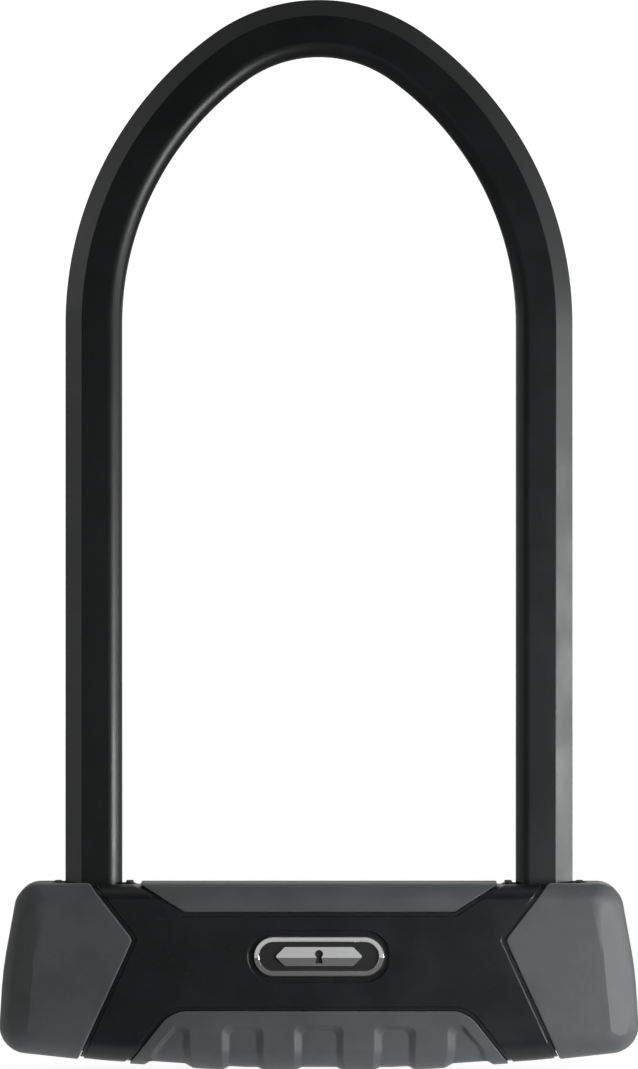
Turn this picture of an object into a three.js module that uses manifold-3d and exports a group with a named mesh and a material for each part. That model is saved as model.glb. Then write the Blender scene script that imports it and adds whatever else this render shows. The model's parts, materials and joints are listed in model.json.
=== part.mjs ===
// A bicycle U lock: a rubber-sleeved steel bow whose two legs stand in a crossbar. The crossbar holds a hardened
// tube with a disc cylinder in the middle, and two deadbolts that the cylinder's cam drives into notches in the legs.
// Millimetres, +Z up. The origin is under the middle of the crossbar, on the surface that its grip ribs stand on.
// The front, with the badge, faces -Y. At rest the bow is home and the bolts are drawn back.
import * as THREE from "three";
import { mergeVertices } from "three/addons/utils/BufferGeometryUtils.js";
import Module from "manifold-3d";

const wasm = await Module();
wasm.setup();

// ---------------------------------------------------------------- driving dimensions

const GAP = 0.3; // between pieces that touch
const RUNNING = 0.15; // between small pieces of the mechanism

const TOP = 51.7; // height of the crossbar
const HALF_DEPTH = 19; // half its depth, front to back
const PANEL = 2.2; // wall of the outer covers
const CASE = 1.8; // wall of the inner case
const GROOVE = 1.25; // width of the grooves between the covers

const LEG_X = 62.2; // middle of each leg
const BAR_HALF = 6.5; // half the steel bar
const SLEEVE_HALF = 7.8; // half the sleeved bar
const BAR_CHAMFER = 3.2; // on the bar's outward edges
const SLEEVE_CHAMFER = 4.2;
const BAR_ROUND = 3; // on the bar's inward edges
const SLEEVE_ROUND = 3.8;
const SIDE_BEND = { x: -28.75, z: 205.9 }; // centre of the long bend over the right leg
const CROWN_BEND = { x: 0, z: 245.47 }; // centre of the tight bend at the crown
const CROWN_ANGLE = 36; // degrees from the crown to where the long bend starts

const TUBE = { x: 75, y: 14, z0: 9, z1: 46.8, wall: 2.5, round: 3 };
const CORE = { y: TUBE.y - TUBE.wall - GAP, z0: TUBE.z0 + TUBE.wall + GAP, z1: TUBE.z1 - TUBE.wall - GAP };
const BOLT = { z0: 37, z1: 43.8, half: 4.5, tip: 55.2, throw: 5.5 };
const LEG_BOTTOM = 15;
const SLEEVE_BOTTOM = 47.3;

const BARREL = { outer: 9.2, inner: 7.2, z0: 6.2, z1: 33.8 };
const PLUG = { outer: 7, inner: 5.6, z0: 8, z1: 32 };
const DISC = { radius: 5.4, height: 2, pitch: 2.7, z0: 10.7, count: 7 };
const KEYWAY = { long: 8.2, wide: 2.8 };
const CAM = { radius: 8, z0: 34.2, z1: 36.6, pin: 1.4 };
const CRANK = BOLT.throw / Math.SQRT2; // a quarter turn, from -45 to +45 degrees, moves the bolts by their throw
const PORT_RADIUS = 5.8; // keyhole in the underside
const SHUTTER = { z0: 2.9, z1: 4.1, x0: -8, x1: 12, y: 7.5, travel: 14 };
const GUIDE = { x0: -12, x1: 34, y: 9, z0: 4.35, z1: 8.7 };
const POCKET_DEPTH = 0.9; // of the finger pockets in the grip strip
const BADGE = { z: 31.7, long: 35.7, tall: 10.7, rim: 1.35 };

// ---------------------------------------------------------------- materials

const plain = (color, roughness, metalness = 0) => new THREE.MeshStandardMaterial({ color, roughness, metalness });
const GREY_GRIP = plain(0x4a4e4e, 0.62);
const BLACK_COVER = plain(0x1c2021, 0.42);
const BLACK_CASE = plain(0x0e1011, 0.6);
const BLACK_SLEEVE = plain(0x171a1b, 0.45);
const SEAL_RUBBER = plain(0x141616, 0.8);
const HARD_STEEL = plain(0x8d9093, 0.35, 1);
const DARK_STEEL = plain(0x55585b, 0.45, 1);
const BRASS = plain(0xb08d4a, 0.35, 1);
const CHROME = plain(0xd9dcde, 0.12, 1);

// ---------------------------------------------------------------- solids

/** A closed geometry as a manifold-3d solid. */
function solid(geometry) {
  const bare = geometry.index ? geometry.toNonIndexed() : geometry.clone();
  for (const name of Object.keys(bare.attributes)) {
    if (name !== "position") bare.deleteAttribute(name);
  }
  const merged = mergeVertices(bare, 1e-4);
  const triVerts = new Uint32Array(merged.index.array);
  return new wasm.Manifold(new wasm.Mesh({ numProp: 3, vertProperties: merged.attributes.position.array, triVerts }));
}

/** A manifold-3d solid as a geometry. */
function geometryOf(made) {
  const mesh = made.getMesh();
  const geometry = new THREE.BufferGeometry();
  geometry.setAttribute("position", new THREE.BufferAttribute(mesh.vertProperties, 3));
  geometry.setIndex(new THREE.BufferAttribute(mesh.triVerts, 1));
  geometry.computeVertexNormals();
  return geometry;
}

function box(x0, x1, y0, y1, z0, z1) {
  const geometry = new THREE.BoxGeometry(x1 - x0, y1 - y0, z1 - z0);
  return solid(geometry.translate((x0 + x1) / 2, (y0 + y1) / 2, (z0 + z1) / 2));
}

const ARC_STEP = Math.PI / 10; // most that one straight piece of a rounded corner turns

const extrude = (shape, depth) => new THREE.ExtrudeGeometry(shape, { depth, bevelEnabled: false });

/** A shape drawn in X and Y, as a prism from z0 to z1. */
const prismZ = (shape, z0, z1) => solid(extrude(shape, z1 - z0).translate(0, 0, z0));

/** A shape drawn in X and Z, as a prism from y0 to y1. */
const prismY = (shape, y0, y1) => solid(extrude(shape, y1 - y0).rotateX(Math.PI / 2).translate(0, y1, 0));

/** A shape drawn in Y and Z, as a prism from x0 to x1. */
function prismX(shape, x0, x1) {
  const turn = new THREE.Matrix4().makeBasis(
    new THREE.Vector3(0, 1, 0), new THREE.Vector3(0, 0, 1), new THREE.Vector3(1, 0, 0));
  return solid(extrude(shape, x1 - x0).applyMatrix4(turn).translate(x0, 0, 0));
}

/** A round bar along Z. */
function rodZ(radius, x, y, z0, z1, sides = 24) {
  const geometry = new THREE.CylinderGeometry(radius, radius, z1 - z0, sides);
  return solid(geometry.rotateX(Math.PI / 2).translate(x, y, (z0 + z1) / 2));
}

/** A round bar along Y. */
function rodY(radius, x, z, y0, y1, sides = 20) {
  const geometry = new THREE.CylinderGeometry(radius, radius, y1 - y0, sides);
  return solid(geometry.translate(x, (y0 + y1) / 2, z));
}

/** A profile of [radius, height] corners, turned about Z. It starts and ends on the axis, or closes on itself. */
function turned(profile, sides = 32) {
  const geometry = new THREE.LatheGeometry(profile.map(([r, h]) => new THREE.Vector2(r, h)), sides);
  return solid(geometry.rotateX(Math.PI / 2));
}

/** A ring about Z. */
const ring = (inner, outer, z0, z1, sides = 32) =>
  turned([[inner, z0], [outer, z0], [outer, z1], [inner, z1], [inner, z0]], sides);

/** The points of a closed polygon of [x, y, radius] corners, anticlockwise, each corner rounded by its radius. */
function roundedPoints(corners) {
  return corners.flatMap(([x, y, radius = 0], i) => {
    const here = new THREE.Vector2(x, y);
    if (!radius) return [here];
    const [px, py] = corners.at(i - 1);
    const [nx, ny] = corners[(i + 1) % corners.length];
    const back = new THREE.Vector2(px, py).sub(here).normalize();
    const ahead = new THREE.Vector2(nx, ny).sub(here).normalize();
    const half = Math.acos(back.dot(ahead)) / 2;
    const start = back.clone().multiplyScalar(radius / Math.tan(half)).add(here);
    const centre = back.clone().add(ahead).normalize().multiplyScalar(radius / Math.sin(half)).add(here);
    const sweep = (Math.PI - 2 * half) * -Math.sign(back.cross(ahead));
    const steps = Math.ceil(Math.abs(sweep) / ARC_STEP);
    return Array.from({ length: steps + 1 }, (_, k) => start.clone().rotateAround(centre, (sweep * k) / steps));
  });
}

const rounded = (corners) => new THREE.Shape(roundedPoints(corners));

/** Corners moved outwards by a distance, keeping the edges parallel. */
function grown(corners, distance) {
  const normal = ([ax, ay], [bx, by]) => new THREE.Vector2(by - ay, ax - bx).normalize();
  return corners.map((corner, i) => {
    const before = normal(corners.at(i - 1), corner);
    const after = normal(corner, corners[(i + 1) % corners.length]);
    const shift = before.clone().add(after).multiplyScalar(distance / (1 + before.dot(after)));
    return [corner[0] + shift.x, corner[1] + shift.y, corner[2]];
  });
}

const mirrored = (corners) => corners.map(([x, y, radius]) => [-x, y, radius]).reverse();

/** Corners of a rectangle with rounded corners, centred on (x, y). */
const rectangle = (width, height, radius, x = 0, y = 0) => [
  [x - width / 2, y - height / 2, radius], [x + width / 2, y - height / 2, radius],
  [x + width / 2, y + height / 2, radius], [x - width / 2, y + height / 2, radius],
];

/** A closed skin over rings of equally many points, each end closed by a fan. The rings turn right-handed. */
function loft(rings) {
  const count = rings[0].length;
  const ends = [rings[0], rings.at(-1)].map((r) => r.reduce((sum, p) => sum.add(p), new THREE.Vector3())
    .divideScalar(count));
  const points = [...rings.flat(), ...ends];
  const faces = [];
  for (let k = 0; k < rings.length - 1; k += 1) {
    for (let i = 0; i < count; i += 1) {
      const j = (i + 1) % count;
      const [a, b, c, d] = [k * count + i, k * count + j, (k + 1) * count + j, (k + 1) * count + i];
      faces.push(a, b, c, a, c, d);
    }
  }
  const last = (rings.length - 1) * count;
  for (let i = 0; i < count; i += 1) {
    const j = (i + 1) % count;
    faces.push(points.length - 2, j, i, points.length - 1, last + i, last + j);
  }
  const geometry = new THREE.BufferGeometry().setFromPoints(points).setIndex(faces);
  return solid(geometry);
}

// ---------------------------------------------------------------- outline of the crossbar, drawn in X and Z

const OUTLINE_RIGHT = [[15.1, 0, 20], [30, 0.53, 120], [60, 2.6, 120], [88.4, 5.7, 8], [87, 28, 100], [82.7, TOP, 8]];
const OUTLINE = [...OUTLINE_RIGHT, ...mirrored(OUTLINE_RIGHT)];
const EDGE_ROUND = { top: 5, bottom: 6.2, end: 7.6 }; // rounding from each side of the outline to the front and back
const LEAST_ROUND = 0.8;

/** The crossbar's rounded form, set in by an inset on every side, its rounding drawn in a number of steps. */
function crossbarForm(inset, steps = 4) {
  const closed = roundedPoints(OUTLINE);
  const edge = closed.map((p, i) => {
    const along = closed[(i + 1) % closed.length].clone().sub(closed.at(i - 1)).normalize();
    const inward = new THREE.Vector2(-along.y, along.x);
    const side = inward.y > 0 ? EDGE_ROUND.bottom : EDGE_ROUND.top;
    const round = side * inward.y ** 2 + EDGE_ROUND.end * inward.x ** 2;
    return { p, inward, round: Math.max(round - inset, LEAST_ROUND) };
  });
  const depth = HALF_DEPTH - inset;
  const ringAt = (angle, side) => edge.map(({ p, inward, round }) => {
    const q = inward.clone().multiplyScalar(inset + round * (1 - Math.cos(angle))).add(p);
    return new THREE.Vector3(q.x, side * (depth - round * (1 - Math.sin(angle))), q.y);
  });
  const angles = Array.from({ length: steps + 1 }, (_, k) => (k / steps) * (Math.PI / 2));
  const front = angles.toReversed().map((a) => ringAt(a, -1));
  const rear = angles.map((a) => ringAt(a, 1));
  return loft([...front, ...rear].map((r) => r.toReversed()));
}

const END_REGION = [[110, -10, 0], [110, 70, 0], [78, 70, 0], [62.4, TOP, 0], [51.5, 35.8, 3], [66.4, 3.1, 0],
  [72.4, -10, 0]].toReversed();
const TOP_REGION = [[37.2, 43.9, 1.5], [49.4, TOP, 0], [60, 58.5, 0], [-60, 58.5, 0], [-49.4, TOP, 0],
  [-37.2, 43.9, 1.5]];
const GRIP_REGION = [[60.2, -8, 0], [40.7, 16.6, 8], [-40.7, 16.6, 8], [-60.2, -8, 0]];

const through = (corners) => prismY(rounded(corners), -30, 30);
const END_CORNERS = THREE.ShapeUtils.isClockWise(END_REGION.map(([x, y]) => new THREE.Vector2(x, y)))
  ? END_REGION.toReversed() : END_REGION;
const endPrism = (side, growth = 0) => through(side > 0 ? grown(END_CORNERS, growth)
  : mirrored(grown(END_CORNERS, growth)));

const OUTER_FORM = crossbarForm(0);
const COVER_SHELL = OUTER_FORM.subtract(crossbarForm(PANEL));
const CASE_SHELL = crossbarForm(PANEL + GAP, 3).subtract(crossbarForm(PANEL + GAP + CASE, 2));

const halfSpace = (side, y = GAP / 2) => box(-120, 120, side > 0 ? y : -60, side > 0 ? 60 : -y, -20, 120);

// ---------------------------------------------------------------- bow

/** The bar's section: u points away from the inside of the bow, v along Y. */
function barSection(half, chamfer, round) {
  const arc = (cu, cv, from) => Array.from({ length: 4 }, (_, k) => {
    const angle = from + (k / 3) * (Math.PI / 2);
    return [cu + round * Math.cos(angle), cv + round * Math.sin(angle)];
  });
  const flat = half - chamfer;
  return [[half, -flat], [half, flat], [flat, half], ...arc(round - half, half - round, Math.PI / 2),
    ...arc(round - half, round - half, Math.PI), [flat, -half]];
}

/** Stations along the bow's middle line, from the foot of the right leg to the foot of the left. */
function bowStations(bottom) {
  const right = [{ x: LEG_X, z: bottom, angle: 0 }];
  const sideRadius = LEG_X - SIDE_BEND.x;
  const join = 90 - CROWN_ANGLE;
  for (let a = 0; a <= join; a += 6) {
    const angle = THREE.MathUtils.degToRad(a);
    right.push({ x: SIDE_BEND.x + sideRadius * Math.cos(angle), z: SIDE_BEND.z + sideRadius * Math.sin(angle), angle });
  }
  const end = right.at(-1);
  const crownRadius = Math.hypot(end.x - CROWN_BEND.x, end.z - CROWN_BEND.z);
  for (let a = join + 6; a <= 90; a += 6) {
    const angle = THREE.MathUtils.degToRad(a);
    right.push({ x: crownRadius * Math.cos(angle), z: CROWN_BEND.z + crownRadius * Math.sin(angle), angle });
  }
  const left = right.slice(0, -1).map(({ x, z, angle }) => ({ x: -x, z, angle: Math.PI - angle }));
  return [...right, ...left.toReversed()];
}

/** A section carried along the bow. The feet are tapered by tip over the same height. */
function bow(section, bottom, tip = 0) {
  const stations = bowStations(bottom);
  const place = ({ x, z, angle }, scale) => section.map(([u, v]) => new THREE.Vector3(
    x + u * scale * Math.cos(angle), v * scale, z + u * scale * Math.sin(angle)));
  const rings = stations.map((s) => place(s, 1));
  if (tip) {
    const small = 1 - tip / BAR_HALF;
    const raise = (s) => ({ ...s, z: s.z + tip });
    rings.splice(0, 1, place(stations[0], small), place(raise(stations[0]), 1));
    rings.splice(-1, 1, place(raise(stations.at(-1)), 1), place(stations.at(-1), small));
  }
  return loft(rings);
}

function shackleBar() {
  let bar = bow(barSection(BAR_HALF, BAR_CHAMFER, BAR_ROUND), LEG_BOTTOM, 1.4);
  for (const side of [-1, 1]) {
    const inner = side * (LEG_X - BAR_HALF - 1);
    const deep = side * (BOLT.tip + BOLT.throw + 0.5);
    bar = bar.subtract(box(Math.min(inner, deep), Math.max(inner, deep), -10, 10, BOLT.z0 - 0.6, BOLT.z1 + 0.6));
  }
  return bar;
}

function shackleSleeve() {
  const hollow = bow(barSection(BAR_HALF + RUNNING, BAR_CHAMFER + 0.06, BAR_ROUND), LEG_BOTTOM);
  return bow(barSection(SLEEVE_HALF, SLEEVE_CHAMFER, SLEEVE_ROUND), SLEEVE_BOTTOM).subtract(hollow);
}

/** A hole for a leg, as wide as the section grown by a clearance. */
function legHole(side, half, z0, z1) {
  return prismZ(rounded(rectangle(2 * half, 2 * half, 3, side * LEG_X, 0)), z0, z1);
}

// ---------------------------------------------------------------- covers of the crossbar

const SEAL_HALF = 11.3;
const sealSeat = (side) => legHole(side, SEAL_HALF + 0.25, TOP - 6, TOP + 6);

function endCap(side) {
  return COVER_SHELL.intersect(endPrism(side)).subtract(sealSeat(side));
}

/** The black cover's front or rear half: all of the shell that the grey pieces leave, with a groove between. */
function crossCover(side) {
  const rim = BADGE.tall / 2 + 1.6;
  let cover = COVER_SHELL.intersect(halfSpace(side));
  for (const other of [-1, 1]) {
    cover = cover.subtract(endPrism(other, GROOVE)).subtract(sealSeat(other));
  }
  cover = cover.subtract(through(grown(TOP_REGION, GROOVE))).subtract(through(grown(GRIP_REGION, GROOVE)));
  if (side > 0) return cover;
  const seat = rounded(rectangle(BADGE.long + 3.2, 2 * rim, rim - 0.01, 0, BADGE.z));
  return cover.subtract(prismY(seat, -HALF_DEPTH - 1, -HALF_DEPTH + 1.4));
}

const topStrip = () => COVER_SHELL.intersect(through(TOP_REGION));

const POCKET_TOP = 12.8;
const POCKETS = [
  ...[-21.2, 0, 21.2].map((x) => rectangle(x ? 11.2 : 13.4, 2 * POCKET_TOP, 1.6, x, 0)),
  [[35.7, -6, 0], [52.6, -6, 0], [38.6, POCKET_TOP, 1], [35.7, POCKET_TOP, 1]],
];
POCKETS.push(mirrored(POCKETS.at(-1)));

/** The grey strip under the crossbar, with finger pockets across it and the keyhole in the middle one. */
function gripStrip() {
  const floor = crossbarForm(POCKET_DEPTH);
  let strip = COVER_SHELL.intersect(through(GRIP_REGION));
  for (const pocket of POCKETS) {
    strip = strip.subtract(through(pocket).subtract(floor));
  }
  return strip.subtract(rodZ(PORT_RADIUS, 0, 0, -2, 6, 32));
}

/** A rubber ring round a leg, a little proud of the covers, with a funnel to guide the leg. */
function legSeal(side) {
  const z0 = TOP - PANEL;
  const outer = rounded(rectangle(2 * SEAL_HALF, 2 * SEAL_HALF, 5, side * LEG_X, 0));
  const hole = legHole(side, SLEEVE_HALF + 0.4, z0 - 1, TOP + 2);
  const funnel = legHole(side, SLEEVE_HALF + 1.5, TOP - 0.4, TOP + 2);
  return prismZ(outer, z0, TOP + 0.7).subtract(hole).subtract(funnel);
}

// ---------------------------------------------------------------- inner case, with its screws

const BOSSES = [[79.2, 18], [78.2, 36]];
const BOSS = { radius: 2.4, hole: 1.1, seat: 1.95 };
const SCREW = { shank: 0.85, head: 1.7, tip: -8, neck: 12.5, top: 14.1 };

function innerCase(side) {
  let half = CASE_SHELL.intersect(halfSpace(side));
  for (const end of [-1, 1]) {
    for (const [x, z] of BOSSES) {
      const [near, far] = side > 0 ? [GAP / 2, HALF_DEPTH - PANEL - CASE] : [-HALF_DEPTH + PANEL + CASE, -GAP / 2];
      half = half.add(rodY(BOSS.radius, end * x, z, near, far));
      half = half.subtract(rodY(BOSS.hole, end * x, z, SCREW.tip - 1, SCREW.neck + 1));
      if (side > 0) half = half.subtract(rodY(BOSS.seat, end * x, z, SCREW.neck - RUNNING, HALF_DEPTH));
    }
    half = half.subtract(legHole(end, SLEEVE_HALF + 0.4, TOP - 8, TOP));
  }
  return half.subtract(box(GUIDE.x0 - GAP, GUIDE.x1 + GAP, -GUIDE.y - GAP, GUIDE.y + GAP, 0, TUBE.z0));
}

function caseScrew(end, [x, z]) {
  const shank = rodY(SCREW.shank, end * x, z, SCREW.tip, SCREW.neck + 0.5, 16);
  const head = rodY(SCREW.head, end * x, z, SCREW.neck, SCREW.top, 24);
  const cross = box(end * x - 1.1, end * x + 1.1, SCREW.top - 0.7, SCREW.top + 1, z - 0.25, z + 0.25);
  const upright = box(end * x - 0.25, end * x + 0.25, SCREW.top - 0.7, SCREW.top + 1, z - 1.1, z + 1.1);
  return shank.add(head).subtract(cross.add(upright));
}

// ---------------------------------------------------------------- hardened housing

const END_PIN = { x: 73, z: 28, radius: 1.2 };
const BARREL_PIN = { x: BARREL.outer + 0.7, z: 22, radius: 1.25 };
const BARREL_SEAT = BARREL.outer + GAP;
const BLOCK = { x0: 49.8, x1: 70.9 };
const CARRIER_X = 14;

function housingTube() {
  const height = TUBE.z1 - TUBE.z0;
  const middle = (TUBE.z0 + TUBE.z1) / 2;
  const outer = rounded(rectangle(2 * TUBE.y, height, TUBE.round, 0, middle));
  const inner = rounded(rectangle(2 * (TUBE.y - TUBE.wall), height - 2 * TUBE.wall, 0.6, 0, middle));
  let tube = prismX(outer, -TUBE.x, TUBE.x).subtract(prismX(inner, -TUBE.x - 1, TUBE.x + 1));
  for (const side of [-1, 1]) {
    tube = tube.subtract(legHole(side, BAR_HALF + GAP, TUBE.z1 - 4, TUBE.z1 + 1));
    tube = tube.subtract(rodY(END_PIN.radius + RUNNING, side * END_PIN.x, END_PIN.z, -20, 20));
  }
  return tube.subtract(rodZ(BARREL_SEAT, 0, 0, TUBE.z0 - 1, TUBE.z0 + 4, 32));
}

function endPlate(side) {
  const [x0, x1] = side > 0 ? [71.2, 74.7] : [-74.7, -71.2];
  const plate = box(x0, x1, -CORE.y, CORE.y, CORE.z0, CORE.z1);
  return plate.subtract(rodY(END_PIN.radius + RUNNING, side * END_PIN.x, END_PIN.z, -20, 20));
}

const endPin = (side) => rodY(END_PIN.radius, side * END_PIN.x, END_PIN.z, -TUBE.y + 0.2, TUBE.y - 0.2);

/** The block that a leg stands in, open towards the middle for its bolt. */
function socketBlock(side) {
  const [x0, x1] = side > 0 ? [BLOCK.x0, BLOCK.x1] : [-BLOCK.x1, -BLOCK.x0];
  const channel = { x0: side > 0 ? 40 : -LEG_X, x1: side > 0 ? LEG_X : -40, y: BOLT.half + GAP };
  return box(x0, x1, -CORE.y, CORE.y, CORE.z0, CORE.z1)
    .subtract(legHole(side, BAR_HALF + GAP, LEG_BOTTOM - 0.6, 60))
    .subtract(box(channel.x0, channel.x1, -channel.y, channel.y, BOLT.z0 - GAP, 60));
}

/** The block round the cylinder, under the bolts. */
function cylinderCarrier() {
  let block = box(-CARRIER_X, CARRIER_X, -CORE.y, CORE.y, CORE.z0, BOLT.z0 - GAP)
    .subtract(rodZ(BARREL_SEAT, 0, 0, 0, 50, 32));
  for (const side of [-1, 1]) {
    block = block.subtract(rodY(BARREL_PIN.radius + GAP, side * BARREL_PIN.x, BARREL_PIN.z, -20, 20));
  }
  return block;
}

const barrelPin = (side) => rodY(BARREL_PIN.radius, side * BARREL_PIN.x, BARREL_PIN.z, -CORE.y + 0.4, CORE.y - 0.4);

/** A channel that carries a bolt between the cylinder and the leg. */
function boltGuide(side) {
  const [x0, x1] = side > 0 ? [23.2, BLOCK.x0 - GAP] : [-BLOCK.x0 + GAP, -23.2];
  const wall = BOLT.half + GAP;
  return box(x0, x1, -wall - 2, wall + 2, BOLT.z0 - 2.8, CORE.z1)
    .subtract(box(x0 - 1, x1 + 1, -wall, wall, BOLT.z0 - GAP, CORE.z1 + 1));
}

// ---------------------------------------------------------------- bolts

const SLOT_SLACK = 0.27; // the crank pins follow a circle, and the bolts a line
const TAIL_END = CRANK / Math.SQRT2 + CAM.pin + SLOT_SLACK + 2.5;

/** The right bolt, whose tail passes the cylinder's axis on the front side. The left one is the same, turned round. */
function deadbolt(side) {
  const shape = rounded([
    [-TAIL_END, -8.3, 0.5], [13, -8.3, 1], [17, -BOLT.half, 1], [BOLT.tip, -BOLT.half, 1], [BOLT.tip, BOLT.half, 1],
    [12, BOLT.half, 0.5], [12, -0.35, 0.5], [-TAIL_END, -0.35, 0],
  ]);
  const pinX = -CRANK / Math.SQRT2;
  const slotHalf = CAM.pin + SLOT_SLACK;
  const slot = box(pinX - slotHalf, pinX + slotHalf, -CRANK - CAM.pin - 0.3, pinX + CAM.pin + 0.3, 30, 50);
  const bolt = prismZ(shape, BOLT.z0, BOLT.z1).subtract(slot);
  return side > 0 ? bolt : bolt.rotate([0, 0, 180]);
}

// ---------------------------------------------------------------- cylinder

const SIDE_BAR = { half: 0.9, y0: 4.45, y1: 6.85 };
const CLIP = { z0: 32.35, z1: 33.15, inner: 5.2, outer: 7.9 };

function cylinderBarrel() {
  const { outer, inner, z0, z1 } = BARREL;
  const lip = 4.8;
  const groove = { z0: CLIP.z0 - RUNNING, z1: CLIP.z1 + RUNNING, radius: CLIP.outer + 0.2 };
  let barrel = turned([
    [lip + 1, z0], [outer, z0], [outer, z1], [inner, z1], [inner, groove.z1], [groove.radius, groove.z1],
    [groove.radius, groove.z0], [inner, groove.z0], [inner, PLUG.z0 - GAP], [lip, PLUG.z0 - GAP], [lip, z0 + 1],
    [lip + 1, z0],
  ]);
  for (const side of [-1, 1]) {
    barrel = barrel.subtract(rodY(BARREL_PIN.radius + RUNNING, side * BARREL_PIN.x, BARREL_PIN.z, -20, 20));
  }
  return barrel.subtract(box(-inner - 1, -inner + 1, -1.2, 1.2, DISC.z0, 30));
}

function plugCore() {
  const { outer, inner, z0, z1 } = PLUG;
  const floor = 30.2;
  const tenon = 3;
  return turned([[inner, z0], [outer, z0], [outer, z1], [0, z1], [0, floor], [inner, floor], [inner, z0]])
    .add(box(-tenon, tenon, -tenon, tenon, z1 - 0.5, CAM.z1 - 0.1))
    .subtract(box(-1.1, 1.1, SIDE_BAR.y0 - 0.5, outer + 1, DISC.z0 - 0.3, 30));
}

/** A flat disc with the keyway through it and, where a gate is wanted, a notch for the side bar. */
function keyDisc(z0, height, gate = true) {
  const disc = rodZ(DISC.radius, 0, 0, z0, z0 + height, 32)
    .subtract(prismZ(rounded(rectangle(KEYWAY.long, KEYWAY.wide, 1)), z0 - 1, z0 + height + 1));
  return gate ? disc.subtract(box(-1.1, 1.1, SIDE_BAR.y0 - RUNNING, 8, z0 - 1, z0 + height + 1)) : disc;
}

const sideBar = () => box(-SIDE_BAR.half, SIDE_BAR.half, SIDE_BAR.y0, SIDE_BAR.y1, DISC.z0, 29.6);

function retainingClip() {
  return ring(CLIP.inner, CLIP.outer, CLIP.z0, CLIP.z1).subtract(box(-1.6, 1.6, 0, 10, CLIP.z0 - 1, CLIP.z1 + 1));
}

/** The cam: a plate on the plug's tenon, with a crank pin for each bolt. */
function camPlate() {
  const tenonHalf = 3 + RUNNING;
  const arm = CRANK / Math.SQRT2;
  let cam = rodZ(CAM.radius, 0, 0, CAM.z0, CAM.z1, 32)
    .subtract(box(-tenonHalf, tenonHalf, -tenonHalf, tenonHalf, CAM.z0 - 1, CAM.z1 + 1));
  const web = ring(0, CAM.radius - 1, CAM.z1 - 0.05, CAM.z1, 32);
  cam = cam.add(web);
  for (const side of [-1, 1]) {
    cam = cam.add(rodZ(CAM.pin, side * arm, side * arm, CAM.z1 - 0.04, BOLT.z1 - 0.4, 24));
  }
  return cam;
}

// ---------------------------------------------------------------- keyhole shutter

const LUG = { x0: 10.5, x1: 12, y: 1.6, z1: 6.9 };
const CHANNEL = { x0: 10.2, x1: 33, y: 1.9, z1: 7.4 };
const SPRING = { radius: 1.2, wire: 0.2, turns: 9, x0: LUG.x1 + 0.3, x1: CHANNEL.x1 - 0.2, z: 5.7 };

function shutterGuide() {
  return box(GUIDE.x0, GUIDE.x1, -GUIDE.y, GUIDE.y, GUIDE.z0, GUIDE.z1)
    .subtract(rodZ(PORT_RADIUS, 0, 0, 0, 20, 32))
    .subtract(rodZ(BARREL_SEAT, 0, 0, BARREL.z0 - 0.25, 20, 32))
    .subtract(box(CHANNEL.x0, CHANNEL.x1, -CHANNEL.y, CHANNEL.y, 0, CHANNEL.z1));
}

function keyholeShutter() {
  const plate = rounded(rectangle(SHUTTER.x1 - SHUTTER.x0, 2 * SHUTTER.y, 1.5, (SHUTTER.x0 + SHUTTER.x1) / 2, 0));
  const dimple = rodZ(2.6, 0, 0, SHUTTER.z0 - 1, SHUTTER.z0 + 0.5, 24);
  return prismZ(plate, SHUTTER.z0, SHUTTER.z1).subtract(dimple)
    .add(box(LUG.x0, LUG.x1, -LUG.y, LUG.y, SHUTTER.z1 - 0.5, LUG.z1));
}

/** A coil spring along X. */
class CoilCurve extends THREE.Curve {
  getPoint(t, target = new THREE.Vector3()) {
    const angle = 2 * Math.PI * SPRING.turns * t;
    const x = THREE.MathUtils.lerp(SPRING.x0, SPRING.x1, t);
    return target.set(x, SPRING.radius * Math.cos(angle), SPRING.z + SPRING.radius * Math.sin(angle));
  }
}

function shutterSpring() {
  const section = new THREE.Shape(
    Array.from({ length: 5 }, (_, k) => new THREE.Vector2().set(
      SPRING.wire * Math.cos((k / 5) * 2 * Math.PI), SPRING.wire * Math.sin((k / 5) * 2 * Math.PI))));
  return solid(new THREE.ExtrudeGeometry(section, { steps: SPRING.turns * 10, extrudePath: new CoilCurve() }));
}

// ---------------------------------------------------------------- badge, with a plain keyhole in a bar

const BADGE_FLOOR = -HALF_DEPTH + 1.4;
const pill = (long, tall) => rounded(rectangle(long, tall, tall / 2 - 0.01, 0, BADGE.z));

const badgePlate = () => prismY(pill(BADGE.long + 0.8, BADGE.tall + 0.8), BADGE_FLOOR - 0.7, BADGE_FLOOR - 0.1);

const badgeRim = () => prismY(pill(BADGE.long, BADGE.tall), BADGE_FLOOR - 1.35, BADGE_FLOOR - 0.8)
  .subtract(prismY(pill(BADGE.long - 2 * BADGE.rim, BADGE.tall - 2 * BADGE.rim), -30, 0));

function badgeEmblem() {
  const bar = rounded([[-12, BADGE.z, 0.6], [-9.4, BADGE.z - 2.6, 0.6], [9.4, BADGE.z - 2.6, 0.6],
    [12, BADGE.z, 0.6], [9.4, BADGE.z + 2.6, 0.6], [-9.4, BADGE.z + 2.6, 0.6]]);
  const keyhole = rodY(0.95, 0, BADGE.z + 0.7, -30, 0).add(prismY(rounded([[-0.9, BADGE.z - 1.7, 0],
    [0.9, BADGE.z - 1.7, 0], [0.4, BADGE.z + 0.7, 0], [-0.4, BADGE.z + 0.7, 0]]), -30, 0));
  return prismY(bar, BADGE_FLOOR - 1.2, BADGE_FLOOR - 0.8).subtract(keyhole);
}

// ---------------------------------------------------------------- assembly

const lock = new THREE.Group();

/** Adds a named piece to a sub-assembly of the lock. */
function add(group, name, material, made) {
  const mesh = new THREE.Mesh(geometryOf(made), material);
  mesh.name = name;
  group.add(mesh);
}

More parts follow.
